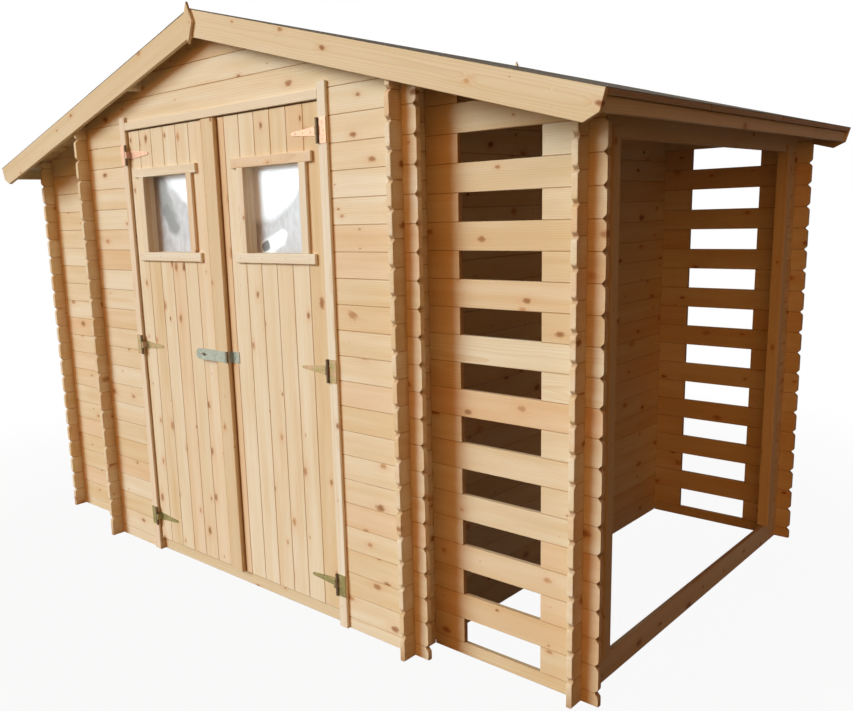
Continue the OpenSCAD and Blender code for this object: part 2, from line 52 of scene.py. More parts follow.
X_AXIS, Y_AXIS, Z_AXIS = Vector((1, 0, 0)), Vector((0, 1, 0)), Vector((0, 0, 1))
TINY = 1e-6
NEAR = 1e-4

# Log boards, in metres: what shows of a board, its ends, and the edges between boards
BOARD_H = 0.088
BOARD_T = 0.019
END_OUT = 0.057
END_CUT = 0.012
LAP_GAP = 0.0003
V_JOINT = 0.0022
EASED = 0.0012
CUT_EDGE = 0.0003
FRONT_JOINT = BOARD_H / 2
SIDE_JOINT = BOARD_H
SHORTEST_BOARD = 0.012
SLOT_W = 0.297

# Planes of the building, read from the frame
HALF_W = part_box("right_wall")[1].x
HALF_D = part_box("back_wall")[1].y
OUTER_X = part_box("store_sill")[1].x
WING_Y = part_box("store_back_wall")[1].y
IN_X = HALF_W - BOARD_T
BAY_IN = OUTER_X - BOARD_T
DOORWAY_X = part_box("front_wall_right")[0].x
DOOR_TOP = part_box("front_wall_left")[1].z
LEFT_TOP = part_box("left_returns")[1].z
STORE_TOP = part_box("store_returns")[1].z
ROOM_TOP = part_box("right_wall")[1].z
BAY_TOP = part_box("store_header")[1].z

# Roof
EAVE_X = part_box("roof_felt")[1].x
ROOF_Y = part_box("roof_felt")[1].y
DECK_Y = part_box("roof_panels_right")[1].y
RIDGE_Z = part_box("roof_panels_right")[1].z
DECK_T = 0.016
PITCH = math.radians(15.7)
SLOPE = math.tan(PITCH)
SLOPE_L = EAVE_X / math.cos(PITCH)
PANEL_W = 0.630
PANEL_GAP = 0.0015
ROOF_BOARD_W = 0.095
EDGE_GAP = 0.009
PURLIN_X = 0.470
PURLIN_W, PURLIN_H = 0.040, 0.070
BARGE_W = 0.091
BARGE_CUT_ACROSS, BARGE_CUT_ALONG = 0.033, 0.038
FASCIA_T = 0.016
FASCIA_REVEAL = 0.004
# each layer of felt: its reach down the slope, and the levels of its underside and top
FELT_LAYERS = ((SLOPE_L, 0.0, 0.0016), (0.79, 0.0016, 0.0023), (0.16, 0.0023, 0.003))

# Joinery, floor and doors
GROOVE_LIP = 0.0117
POST_CORE = 0.0197
STOP_T, STOP_W, STOP_CLEAR = 0.010, 0.020, 0.005
FLOOR_BOARD_W = 0.110
FLOOR_PLAY = 0.003
BEARER_W, BEARERS = 0.045, 5
DOOR_BOARD_W, DOOR_EDGE_W = 0.086, 0.0795
LEDGE_H = 0.070
TRIM_W, TRIM_OVER = 0.036, 0.030

# Hinges, screws and nails
BARREL_R = 0.005
PIN_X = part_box("right_straps")[1].x - BARREL_R
HINGE_Z = (0.163, 0.955, 1.760)
PLATE_T = 0.0025
LEAF_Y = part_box("left_leaf")[0].y
JAMB_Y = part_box("door_jambs")[0].y


def roof_z(x):
    return RIDGE_Z - abs(x) * SLOPE


def under_z(x):
    return roof_z(x) - DECK_T / math.cos(PITCH)


def wall_z(x):
    return under_z(x) - LAP_GAP


# Meshes of boards

class Boards:
    """Collects boards into one mesh, with grain coordinates, random numbers and a mask of the joints' painted
    shade on every vertex.
    """

    def __init__(self, name):
        self.name = name
        self.verts = []
        self.faces = []
        self.grain = []
        self.dice = []
        self.joint_painted_shade_mask = []

    def point(self, place, grain, dice, joint_painted_shade_mask):
        self.verts.append(place)
        self.grain.append(grain)
        self.dice.append(dice)
        self.joint_painted_shade_mask.append(joint_painted_shade_mask)

    def prism(self, outline, eases, origin, axes, thickness, open_points=()):
        """One board: an outline along and across the grain, extruded by its thickness with eased edges."""
        along, across, depth = axes
        count = len(outline)
        shift = (rng.uniform(0, 40), rng.uniform(-0.05, 0.05) + rng.randrange(40), rng.uniform(0.004, 0.05))
        dice = (rng.random(), rng.random(), rng.random())
        ease = min(max(eases), thickness * 0.4)
        inner = inset(outline, [min(e, ease) for e in eases])
        # Painted shade: points along a closed V-joint are marked, and the pine paints them dark for the gap
        # between the boards.
        joint_points_painted_dark = [1.0 if max(eases[i - 1], eases[i]) >= V_JOINT and i not in open_points else 0.0
                    for i in range(count)]
        layers = ((inner, 0.0, 0.0), (outline, ease, 1.0),
                  (outline, thickness - ease, 1.0), (inner, thickness, 0.0))
        base = len(self.verts)
        for points, d, depth_in in layers:
            for i, (a, b) in enumerate(points):
                self.point(origin + along * a + across * b + depth * d,
                           (a + shift[0], b + shift[1], d + shift[2]), dice, joint_points_painted_dark[i] * depth_in)
        rings = [[base + k * count + i for i in range(count)] for k in range(len(layers))]
        faces = [rings[0], rings[-1][::-1]]
        for low, high in zip(rings, rings[1:]):
            for i in range(count):
                j = (i + 1) % count
                faces.append([low[i], high[i], high[j], low[j]])
        turned_over = along.cross(across).dot(depth) > 0
        self.faces += [face[::-1] for face in faces] if turned_over else faces

    def box(self, low, high, grain_axis, ease=EASED):
        """A plain board between two corners, with its grain along one axis."""
        low, high = Vector(low), Vector(high)
        size = high - low
        order = {"x": (0, 2, 1), "y": (1, 2, 0), "z": (2, 0, 1)}[grain_axis]
        if size[order[1]] < size[order[2]]:
            order = (order[0], order[2], order[1])
        axes = [(X_AXIS, Y_AXIS, Z_AXIS)[i] for i in order]
        a, b, d = (size[i] for i in order)
        self.prism([(0, 0), (a, 0), (a, b), (0, b)], [ease] * 4, low, axes, d)

    def build(self, body, slot, material, *nodes):
        mesh = bpy.data.meshes.new(self.name)
        mesh.from_pydata([tuple(v) for v in self.verts], [], self.faces)
        for name, values in (("grain", self.grain), ("dice", self.dice)):
            layer = mesh.attributes.new(name, "FLOAT_VECTOR", "POINT")
            layer.data.foreach_set("vector", np.array(values, np.float32).ravel())
        joint_painted_shade_mask = mesh.attributes.new("joint_painted_shade_mask", "FLOAT", "POINT")
        joint_painted_shade_mask.data.foreach_set("value", np.array(self.joint_painted_shade_mask, np.float32))
        mesh.validate()
        mesh.materials.append(material)
        piece = bpy.data.objects.new(self.name, mesh)
        bpy.context.scene.collection.objects.link(piece)
        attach(piece, body)
        if nodes:
            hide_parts(*nodes)


def inset(outline, eases):
    """The outline with each edge moved inwards by its own ease."""
    count = len(outline)
    painted_light_edges = [(outline[i], outline[(i + 1) % count]) for i in range(count)]
    area = sum(x0 * y1 - x1 * y0 for (x0, y0), (x1, y1) in painted_light_edges)
    turn = 1.0 if area > 0 else -1.0
    normals = []
    for (x0, y0), (x1, y1) in painted_light_edges:
        length = math.hypot(x1 - x0, y1 - y0) or 1e-9
        normals.append((-(y1 - y0) / length * turn, (x1 - x0) / length * turn))
    moved = []
    for i, (x, y) in enumerate(outline):
        (n0x, n0y), (n1x, n1y) = normals[i - 1], normals[i]
        e0, e1 = eases[i - 1], eases[i]
        det = n0x * n1y - n0y * n1x
        if abs(det) < 0.05:
            moved.append((x + n1x * e1, y + n1y * e1))
        else:
            moved.append((x + (e0 * n1y - e1 * n0y) / det, y + (n0x * e1 - n1x * e0) / det))
    return moved


# Log walls

def board_end(u, sign, z0, z1, free):
    """Lower and upper points of a board's end, going outwards: bevelled where the end is free."""
    if not free:
        return [(u, z0)], [(u, z1)]
    bevel = ((1.0, 0.0), (0.08, 0.92), (0.0, 1.25))
    low = [(u - sign * END_CUT * back, z0 + END_CUT * up) for back, up in bevel]
    high = [(u - sign * END_CUT * back, z1 - END_CUT * up) for back, up in bevel]
    on_ground = z0 <= TINY
    return ([(u, z0)] if on_ground else low), high


def wall_board(u0, u1, z0, z1, free0, free1, laps, top=None):
    """Outline of one log board: bevelled free ends, notches at the laps and a roof cut."""
    low0, high0 = board_end(u0, -1, z0, z1, free0)
    low1, high1 = board_end(u1, 1, z0, z1, free1)
    notch = BOARD_H / 4
    whole = z0 > TINY or z1 - z0 > 0.6 * BOARD_H
    steps_low, steps_high = [], []
    for c0, c1 in laps:
        if c0 <= u0 + TINY or c1 >= u1 - TINY:
            continue
        if whole:
            steps_low += [(c0, z0), (c0, z0 + notch), (c1, z0 + notch), (c1, z0)]
        steps_high += [(c0, z1), (c0, z1 - notch), (c1, z1 - notch), (c1, z1)]
    low = low0[::-1] + steps_low + low1
    high = high0[::-1] + steps_high + high1
    if top is not None:
        high = roof_cut(high, top)
    return simplified(low + high[::-1])


def roof_cut(high, top):
    """The upper chain of a board, lowered to the roof line where that is lower."""
    points = []
    for (ua, za), (ub, zb) in zip(high, high[1:]):
        points.append((ua, min(za, top(ua))))
        over_a, over_b = za - top(ua), zb - top(ub)
        stops = []
        if ua < 0.0 < ub:
            stops = [0.0]
            if over_a > 0 and over_b > 0 and za < top(0.0):
                reach = (top(0.0) - za) / SLOPE
                stops = [-reach, reach]
        elif (over_a > 0) != (over_b > 0) and ub > ua:
            stops = [ua + (ub - ua) * (over_a / (over_a - over_b))]
        for u in stops:
            z = za + (zb - za) * (u - ua) / (ub - ua)
            points.append((u, min(z, top(u))))
    u, z = high[-1]
    points.append((u, min(z, top(u))))
    return points


def simplified(outline):
    """The outline without points that repeat or lie on a straight line."""
    same = 2e-4
    points = []
    for p in outline:
        if not points or math.dist(p, points[-1]) > same:
            points.append(p)
    if math.dist(points[0], points[-1]) < same:
        points.pop()
    kept = []
    for i, p in enumerate(points):
        a, b = points[i - 1], points[(i + 1) % len(points)]
        cross = (p[0] - a[0]) * (b[1] - p[1]) - (p[1] - a[1]) * (b[0] - p[0])
        if abs(cross) > 1e-9:
            kept.append(p)
    return kept


def edge_eases(outline, joints):
    """A wide ease on edges that lie along a joint between boards, a fine one elsewhere."""
    least_joint = 0.03
    eases = []
    for i, (u, z) in enumerate(outline):
        v, w = outline[(i + 1) % len(outline)]
        level = abs(z - w) < TINY
        on_joint = level and any(abs(z - j) < NEAR for j in joints) and abs(u - v) > least_joint
        slanted = not level and abs(u - v) > TINY
        eases.append(V_JOINT if on_joint else EASED if slanted else CUT_EDGE * 2)
    return eases


def open_edges(outline, eases, holes):
    """Splits the edges that run along a slot, so that the painted shade of a joint lies only on its closed
    part.
    """
    points, new_eases, open_points = [], [], set()
    turn_in = 0.002
    for i, (p, ease) in enumerate(zip(outline, eases)):
        q = outline[(i + 1) % len(outline)]
        points.append(p)
        new_eases.append(ease)
        for h0, h1, z0, z1 in holes:
            along = abs(p[1] - q[1]) < TINY and min(abs(p[1] - z0), abs(p[1] - z1)) < NEAR
            if along and min(p[0], q[0]) < h0 - turn_in and max(p[0], q[0]) > h1 + turn_in:
                stops = [h0, h0 + turn_in, h1 - turn_in, h1]
                if p[0] > q[0]:
                    stops.reverse()
                open_points |= {len(points) + 1, len(points) + 2}
                points += [(u, p[1]) for u in stops]
                new_eases += [ease, EASED, ease, ease]
                break
    return points, new_eases, open_points


def courses(first, low, high):
    """Lower and upper edges of the boards between two heights."""
    joints = [first + k * BOARD_H for k in range(math.ceil(high / BOARD_H) + 1)]
    painted_light_edges = [low] + [z for z in joints if low + TINY < z < high - TINY] + [high]
    return list(zip(painted_light_edges, painted_light_edges[1:]))


def clip_span(span, low, top):
    """Shortens a board's span to where the roof leaves at least some wood above its lower edge."""
    a, b, free_a, free_b = span
    least = 0.004
    reach = (top(0.0) - low - least) / SLOPE
    if a < -reach:
        a, free_a = -reach, False
    if b > reach:
        b, free_b = reach, False
    return a, b, free_a, free_b


def split_span(span, h0, h1):
    a, b, free_a, free_b = span
    if h1 <= a or h0 >= b:
        return [span]
    return [(a, h0, free_a, False), (h1, b, False, free_b)]


def log_wall(boards, axis, plane, u0, u1, z0, z1, laps, free0=True, free1=True, top=None, holes=()):
    """A wall of log boards along X or Y, with its outer plane at the lower coordinate."""
    if axis == "x":
        axes, origin, first = (X_AXIS, Z_AXIS, Y_AXIS), Vector((0, plane, 0)), FRONT_JOINT
    else:
        axes, origin, first = (Y_AXIS, Z_AXIS, X_AXIS), Vector((plane, 0, 0)), SIDE_JOINT
    for low, high in courses(first, z0, z1):
        span = (u0, u1, free0, free1)
        spans = [clip_span(span, low, top) if top else span]
        for h0, h1, hole_low, hole_high in holes:
            if hole_low <= low + NEAR and hole_high >= high - NEAR:
                spans = [part for s in spans for part in split_span(s, h0, h1)]
        for a, b, free_a, free_b in spans:
            if b - a < SHORTEST_BOARD:
                continue
            outline = wall_board(a, b, low, high, free_a, free_b, laps, top)
            if len(outline) < 3:
                continue
            outline, eases, open_points = open_edges(outline, edge_eases(outline, (low, high)), holes)
            boards.prism(outline, eases, origin, axes, BOARD_T, open_points)


# Nodes of materials and of the world

class Nodes:
    """Adds nodes to a tree; a value for an input is a constant or another node's output."""

    def __init__(self, tree):
        self.tree = tree

    def new(self, kind, **settings):
        made = self.tree.nodes.new(kind)
        for key, value in settings.items():
            setattr(made, key, value)
        return made

    def feed(self, socket, value):
        if isinstance(value, bpy.types.NodeSocket):
            self.tree.links.new(value, socket)
        elif socket.type == "RGBA":
            socket.default_value = (*value, 1.0)
        else:
            socket.default_value = value

    def math(self, operation, a, b=None, clamp=False):
        made = self.new("ShaderNodeMath", operation=operation, use_clamp=clamp)
        self.feed(made.inputs[0], a)
        if b is not None:
            self.feed(made.inputs[1], b)
        return made.outputs[0]

    def add(self, a, b, clamp=False):
        return self.math("ADD", a, b, clamp)

    def minus(self, a, b, clamp=False):
        return self.math("SUBTRACT", a, b, clamp)

    def times(self, a, b, clamp=False):
        return self.math("MULTIPLY", a, b, clamp)

    def hypot(self, a, b):
        return self.math("SQRT", self.add(self.times(a, a), self.times(b, b)))

    def vector_math(self, operation, a, b):
        made = self.new("ShaderNodeVectorMath", operation=operation)
        self.feed(made.inputs[0], a)
        self.feed(made.inputs[1], b)
        return made.outputs[0]

    def length(self, vector):
        made = self.new("ShaderNodeVectorMath", operation="LENGTH")
        self.feed(made.inputs[0], vector)
        return made.outputs["Value"]

    def split(self, vector):
        made = self.new("ShaderNodeSeparateXYZ")
        self.feed(made.inputs[0], vector)
        return made.outputs

    def attribute(self, name):
        return self.new("ShaderNodeAttribute", attribute_name=name).outputs

    def place(self, kind="Object"):
        return self.new("ShaderNodeTexCoord").outputs[kind]

    def noise(self, vector, scale, detail=2.0, roughness=0.5, stretch=None):
        made = self.new("ShaderNodeTexNoise")
        for name, value in (("Scale", scale), ("Detail", detail), ("Roughness", roughness)):
            made.inputs[name].default_value = value
        self.feed(made.inputs["Vector"], self.vector_math("MULTIPLY", vector, stretch) if stretch else vector)
        return made.outputs["Fac"]

    def voronoi(self, vector, scale, **settings):
        made = self.new("ShaderNodeTexVoronoi", **settings)
        made.inputs["Scale"].default_value = scale
        self.feed(made.inputs["Vector"], vector)
        return made

    def ramp(self, fac, stops):
        made = self.new("ShaderNodeValToRGB")
        elements = made.color_ramp.elements
        while len(elements) < len(stops):
            elements.new(0.5)
        for element, (position, colour) in zip(elements, stops):
            element.position = position
            element.color = (*colour, 1.0)
        self.feed(made.inputs[0], fac)
        return made.outputs[0]

    def mix(self, fac, a, b, blend="MIX"):
        made = self.new("ShaderNodeMix", data_type="RGBA", blend_type=blend)
        for index, value in ((0, fac), (6, a), (7, b)):
            self.feed(made.inputs[index], value)
        return made.outputs[2]

    def shade(self, fac, colour, tint):
        """The colour, multiplied by a tint where the factor is high."""
        return self.mix(fac, colour, self.mix(1.0, colour, tint, "MULTIPLY"))

    def fade(self, value, start, end, low, high):
        """A smooth step from low to high while the value goes from start to end."""
        made = self.new("ShaderNodeMapRange", interpolation_type="SMOOTHSTEP")
        for name, limit in (("From Min", start), ("From Max", end), ("To Min", low), ("To Max", high)):
            made.inputs[name].default_value = limit
        self.feed(made.inputs["Value"], value)
        return made.outputs["Result"]

    def bump(self, shader, height, strength, distance):
        made = self.new("ShaderNodeBump")
        made.inputs["Strength"].default_value = strength
        made.inputs["Distance"].default_value = distance
        self.feed(made.inputs["Height"], height)
        self.feed(shader.inputs["Normal"], made.outputs[0])

    def seen(self):
        """1 for rays that show the surroundings: straight to the camera, in a mirror or through glass."""
        path = self.new("ShaderNodeLightPath").outputs
        indirect = self.math("MAXIMUM", path["Is Glossy Ray"], path["Is Transmission Ray"])
        return self.math("MAXIMUM", path["Is Camera Ray"], indirect)

    def show(self, fac, lit, white, output):
        """Mixes what lights the object with the white that is seen, and makes that the output."""
        blend = self.new("ShaderNodeMixShader")
        for socket, value in zip(blend.inputs, (fac, lit, white)):
            self.feed(socket, value)
        self.feed(self.tree.nodes[output].inputs["Surface"], blend.outputs[0])


def new_material(name):
    material = bpy.data.materials.new(name)
    material.use_nodes = True
    tree = material.node_tree
    return material, Nodes(tree), tree.nodes["Principled BSDF"]


# Materials

def knot_pattern(nodes, grain, size):
    """Knots, one candidate in each cell: masks of the heart and the warm wood round it, and the cell's luck."""
    per_metre = (5.0, 12.0, 0.0)
    drawn_out = 0.58
    largest, unlucky = 0.022, 0.40
    scaled = nodes.vector_math("MULTIPLY", grain, per_metre)
    cells = nodes.voronoi(scaled, 1.0, voronoi_dimensions="2D")
    cells.inputs["Randomness"].default_value = 0.9
    offset = nodes.vector_math("SUBTRACT", scaled, cells.outputs["Position"])
    metres = nodes.vector_math("MULTIPLY", offset, (drawn_out / per_metre[0], 1.0 / per_metre[1], 0.0))
    ragged = nodes.add(nodes.times(nodes.noise(grain, 95.0), 1.1), 0.45)
    luck = nodes.split(cells.outputs["Color"])
    radius = nodes.times(nodes.minus(luck[0], unlucky, True), largest * size)
    ratio = nodes.math("DIVIDE", nodes.times(nodes.length(metres), ragged), nodes.add(radius, 0.0002))
    core = nodes.minus(1.25, ratio, True)
    halo = nodes.times(nodes.minus(1.0, nodes.times(ratio, 0.25), True), 0.75)
    return core, halo, luck[1]


def late_wood(nodes, grain, halo):
    """Dark part of the growth rings, bent by slow waves and by the knots."""
    rings_per_metre = 150.0
    waves = nodes.noise(grain, 1.0, stretch=(1.6, 9.0, 9.0))
    _, across, depth = nodes.split(grain)
    radius = nodes.hypot(nodes.minus(across, nodes.math("ROUND", across)), depth)
    bent = nodes.add(nodes.add(radius, nodes.times(waves, 0.03)), nodes.times(halo, 0.006))
    return nodes.math("POWER", nodes.math("FRACT", nodes.times(bent, rings_per_metre)), 3.0)


def pine(name, pale, warm, knots=1.0):
    """Planed pine: tint from board to board, streaks and rings along the grain, and knots."""
    pink_wood, painted_joint_shade_tone = (0.83, 0.60, 0.40), (0.33, 0.16, 0.06)
    streak_tint, late_tint, fibre_tint = (0.91, 0.83, 0.69), (0.84, 0.70, 0.52), (0.86, 0.80, 0.72)
    knot_halo, knot_dark, knot_pale = (0.70, 0.41, 0.20), (0.30, 0.13, 0.05), (0.60, 0.36, 0.18)

    material, nodes, shader = new_material(name)
    grain = nodes.attribute("grain")["Vector"]
    tint, hue, _ = nodes.split(nodes.attribute("dice")["Vector"])
    core, halo, luck = knot_pattern(nodes, grain, knots)
    late = late_wood(nodes, grain, halo)
    streaks = nodes.noise(grain, 1.0, 4.0, 0.65, stretch=(0.8, 26.0, 26.0))
    fibres = nodes.noise(grain, 1.0, 3.0, 0.6, stretch=(14.0, 420.0, 420.0))
    patches = nodes.noise(grain, 1.0, 2.0, 0.55, stretch=(2.2, 17.0, 17.0))

    drift = nodes.times(nodes.minus(patches, 0.5), 1.7)
    colour = nodes.mix(nodes.add(tint, drift, True), pale, warm)
    colour = nodes.mix(nodes.times(nodes.minus(hue, 0.70, True), 1.6), colour, pink_wood)
    colour = nodes.shade(nodes.times(nodes.minus(streaks, 0.36, True), 2.2, True), colour, streak_tint)
    colour = nodes.shade(nodes.times(late, 0.48), colour, late_tint)
    colour = nodes.shade(nodes.times(fibres, 0.22), colour, fibre_tint)
    colour = nodes.mix(nodes.times(nodes.math("POWER", halo, 1.8), 0.85), colour, knot_halo)
    heart = nodes.mix(luck, knot_dark, knot_pale)
    colour = nodes.mix(nodes.times(nodes.times(core, 1.4, True), 0.88), colour, heart)
    # Painted shade: the V-joints between boards are darkened where the gap between them is in shade.
    colour = nodes.mix(nodes.times(nodes.attribute("joint_painted_shade_mask")["Fac"], 0.66), colour, painted_joint_shade_tone)

    nodes.feed(shader.inputs["Base Color"], colour)
    nodes.feed(shader.inputs["Roughness"], nodes.add(nodes.times(late, -0.10), 0.62))
    shader.inputs["Specular IOR Level"].default_value = 0.04
    nodes.bump(shader, nodes.add(nodes.times(late, 0.5), nodes.times(fibres, 0.6)), 0.22, 0.0006)
    return material


def metal(name, tones, spangle, roughness, barrel_x=None):
    """Zinc on steel: crystals of slightly different tone, fine scratches, and barrels round the pins painted
    dark, as painted shade and dark reflection.
    """
    barrel_painted_shade, barrel_play = (0.16, 0.10, 0.055), 0.0008
    material, nodes, shader = new_material(name)
    place = nodes.place()
    flake = nodes.split(nodes.voronoi(place, spangle).outputs["Color"])[0]
    tone = nodes.add(nodes.times(flake, 0.4), nodes.times(nodes.noise(place, 45.0, 3.0), 0.6))
    if barrel_x is None:
        colour = nodes.ramp(tone, list(zip((0.20, 0.50, 0.85), tones)))
    else:
        x, _, z = nodes.split(place)
        # The tone rises with height: the plates are olive low down and salmon high up.
        film = nodes.add(nodes.times(tone, 0.7), nodes.times(z, 0.30))
        colour = nodes.ramp(film, list(zip((0.20, 0.50, 0.85), tones)))
        # Painted shade: the barrels round the pins are painted dark for their shaded side and its dark
        # reflection.
        off = nodes.math("ABSOLUTE", nodes.minus(nodes.math("ABSOLUTE", x), barrel_x))
        colour = nodes.mix(nodes.math("LESS_THAN", off, BARREL_R + barrel_play), colour, barrel_painted_shade)
    nodes.feed(shader.inputs["Base Color"], colour)
    shader.inputs["Metallic"].default_value = 1.0
    nodes.feed(shader.inputs["Roughness"], nodes.add(nodes.times(tone, 0.22), roughness))
    nodes.bump(shader, nodes.noise(place, 600.0), 0.15, 0.0004)
    return material


def roofing_felt(name, tones):
    """Roofing felt with mineral grains, and a tone of its own for each strip."""
    material, nodes, shader = new_material(name)
    place = nodes.place()
    grains = nodes.voronoi(place, 700.0)
    grey = nodes.split(grains.outputs["Color"])[0]
    strip = nodes.times(nodes.minus(nodes.split(nodes.attribute("dice")["Vector"])[0], 0.5), 0.22)
    tone = nodes.add(nodes.times(grey, 0.7), nodes.times(nodes.noise(place, 3.0, 4.0), 0.3))
    colour = nodes.ramp(nodes.add(tone, strip), list(zip((0.1, 0.55, 0.95), tones)))
    nodes.feed(shader.inputs["Base Color"], colour)
    shader.inputs["Roughness"].default_value = 0.92
    nodes.bump(shader, grains.outputs["Distance"], 0.6, 0.001)
    return material


def crease(nodes, u, v, start, end, half):
    """Mask of a soft band along a line across a pane, in shares of the pane's width and height."""
    du, dv = end[0] - start[0], end[1] - start[1]
    from_u, from_v = nodes.minus(u, start[0]), nodes.minus(v, start[1])
    dot = nodes.add(nodes.times(from_u, du), nodes.times(from_v, dv))
    share = nodes.math("DIVIDE", dot, du * du + dv * dv, True)
    off_u = nodes.minus(from_u, nodes.times(share, du))
    off_v = nodes.minus(from_v, nodes.times(share, dv))
    edge = nodes.minus(1.0, nodes.math("DIVIDE", nodes.hypot(off_u, off_v), half))
    return nodes.times(edge, 3.0, True)


def window_film(name, pane, glare, creases):
    """Plastic sheet with its crumpled film: white glare painted above a curved line as painted reflection, grey
    below it, and creases painted lighter and darker as painted highlight and shade.
    """
    grey_low, grey_high, white = (0.45, 0.42, 0.415), (0.55, 0.52, 0.515), (0.84, 0.84, 0.845)
    material, nodes, shader = new_material(name)
    low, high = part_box(pane)
    place = nodes.place()
    x, _, z = nodes.split(place)
    wave = nodes.times(nodes.minus(nodes.noise(place, 11.0), 0.5), 0.16)
    u = nodes.add(nodes.math("DIVIDE", nodes.minus(x, low.x), high.x - low.x), wave)
    v = nodes.add(nodes.math("DIVIDE", nodes.minus(z, low.z), high.z - low.z), wave)
    foot, rise, curl = glare
    curve = nodes.times(nodes.math("POWER", nodes.math("MAXIMUM", u, 0.0), 3.0), curl)
    line = nodes.add(nodes.add(nodes.times(u, rise), foot), curve)
    # Painted reflection: the glare is painted white above this line.
    above = nodes.times(nodes.add(nodes.minus(v, line), 0.03), 9.0, True)
    fine = nodes.noise(place, 1.0, 3.0, 0.55, stretch=(60.0, 60.0, 30.0))
    colour = nodes.ramp(fine, [(0.3, grey_low), (0.7, grey_high)])
    # Painted highlight and shade: the creases are painted lighter and darker along the folds.
    for start, end, half, tone in creases:
        colour = nodes.mix(crease(nodes, u, v, start, end, half), colour, tone)
    nodes.feed(shader.inputs["Base Color"], nodes.mix(above, colour, white))
    shader.inputs["Metallic"].default_value = 0.6
    nodes.feed(shader.inputs["Roughness"], nodes.add(nodes.times(fine, 0.2), 0.30))
    nodes.bump(shader, nodes.noise(place, 16.0), 0.25, 0.004)
    return material


LOG_PINE = pine("log_pine", (0.88, 0.83, 0.68), (0.80, 0.665, 0.44))
# A darker copy of the log pine, as painted shade: the log store's front and back boards get less light.
STORE_PINE_PAINTED_SHADE = pine("store_pine_painted_shade", (0.82, 0.755, 0.585), (0.745, 0.60, 0.38))
DOOR_PINE = pine("door_pine", (0.88, 0.825, 0.665), (0.80, 0.67, 0.455), 0.9)
# The trims' own pine, also made a little darker as painted shade, where the light falls off along the
# bargeboards.
TRIM_PINE_PAINTED_SHADE = pine("trim_pine_painted_shade", (0.80, 0.72, 0.53), (0.765, 0.65, 0.44), 0.6)
# The trims' own paler pine; on the roof's eave edges it is painted light, for the sky light that catches them.
PALE_PINE = pine("pale_pine", (0.885, 0.855, 0.735), (0.86, 0.80, 0.65), 0.5)
YELLOW_ZINC = metal("yellow_zinc_plate", ((0.20, 0.165, 0.055), (0.34, 0.265, 0.105), (0.55, 0.30, 0.20)),
                    90.0, 0.42, PIN_X)
GALVANISED = metal("galvanised_plate", ((0.26, 0.25, 0.20), (0.345, 0.325, 0.255), (0.43, 0.40, 0.315)),
                   120.0, 0.40)
FELT = roofing_felt("roofing_felt", ((0.055, 0.045, 0.030), (0.13, 0.105, 0.07), (0.26, 0.22, 0.16)))
LEFT_FILM_PAINTED_GLARE = window_film("left_window_film_painted_glare", "left_pane", (1.14, -0.72, 0.0),
                        (((0.10, 1.0), (0.42, 0.38), 0.16, (0.33, 0.315, 0.30)),
                         ((0.30, 0.55), (0.44, 0.36), 0.10, (0.27, 0.26, 0.25))))
RIGHT_FILM_PAINTED_GLARE = window_film("right_window_film_painted_glare", "right_pane", (0.36, 0.05, 0.62),
                         (((0.18, 0.10), (0.45, 0.20), 0.10, (0.78, 0.78, 0.78)),
                          ((0.16, 0.10), (0.24, 0.14), 0.055, (0.22, 0.22, 0.22))))


# Walls

def lap(start):
    """Both sides of the place where another wall passes through."""
    return start - LAP_GAP, start + BOARD_T + LAP_GAP


def build_room_walls():
    """The middle room: front beside and over the doorway, back, and the two sides."""
    laps = [lap(-HALF_W), lap(IN_X)]
    end_x = HALF_W + END_OUT
    wall = Boards("front_wall_right_boards")
    log_wall(wall, "x", -HALF_D, DOORWAY_X, end_x, 0, DOOR_TOP, laps, free0=False)
    wall.build("shed", "log_boards", LOG_PINE, "front_wall_right")
    wall = Boards("front_wall_left_boards")
    log_wall(wall, "x", -HALF_D, -end_x, -DOORWAY_X, 0, DOOR_TOP, laps, free1=False)
    wall.build("shed", "log_boards", LOG_PINE, "front_wall_left")
    wall = Boards("front_gable_boards")
    log_wall(wall, "x", -HALF_D, -end_x, end_x, DOOR_TOP, wall_z(0), laps, top=wall_z)
    wall.build("shed", "log_boards", LOG_PINE, "front_gable")
    wall = Boards("back_wall_boards")
    log_wall(wall, "x", HALF_D - BOARD_T, -end_x, end_x, 0, wall_z(0), laps, top=wall_z)
    wall.build("shed", "log_boards", LOG_PINE, "back_wall")

    laps = [lap(-HALF_D), lap(-WING_Y), lap(WING_Y - BOARD_T), lap(HALF_D - BOARD_T)]
    end_y = HALF_D + END_OUT
    short_y = DECK_Y - LAP_GAP
    wall = Boards("right_wall_boards")
    log_wall(wall, "y", IN_X, -end_y, end_y, 0, LEFT_TOP, laps)
    log_wall(wall, "y", IN_X, -short_y, short_y, LEFT_TOP, ROOM_TOP, laps)
    wall.build("shed", "log_boards", LOG_PINE, "right_wall")
    wall = Boards("left_return_boards")
    passage_y = WING_Y - BOARD_T - END_OUT
    log_wall(wall, "y", -HALF_W, -end_y, -passage_y, 0, LEFT_TOP, laps)
    log_wall(wall, "y", -HALF_W, passage_y, end_y, 0, LEFT_TOP, laps)
    wall.build("shed", "log_boards", LOG_PINE, "left_returns")
    wall = Boards("left_header_boards")
    log_wall(wall, "y", -HALF_W, -short_y, short_y, LEFT_TOP, ROOM_TOP, laps)
    wall.build("shed", "log_boards", LOG_PINE, "left_header")


def air_slots():
    """The slots in the middle of the log store's ends: every second board, between two joints."""
    middle = (HALF_W + BAY_IN) / 2
    joints = np.arange(FRONT_JOINT, wall_z(HALF_W), 2 * BOARD_H)
    return [(middle - SLOT_W / 2, middle + SLOT_W / 2, z, z + BOARD_H) for z in joints]


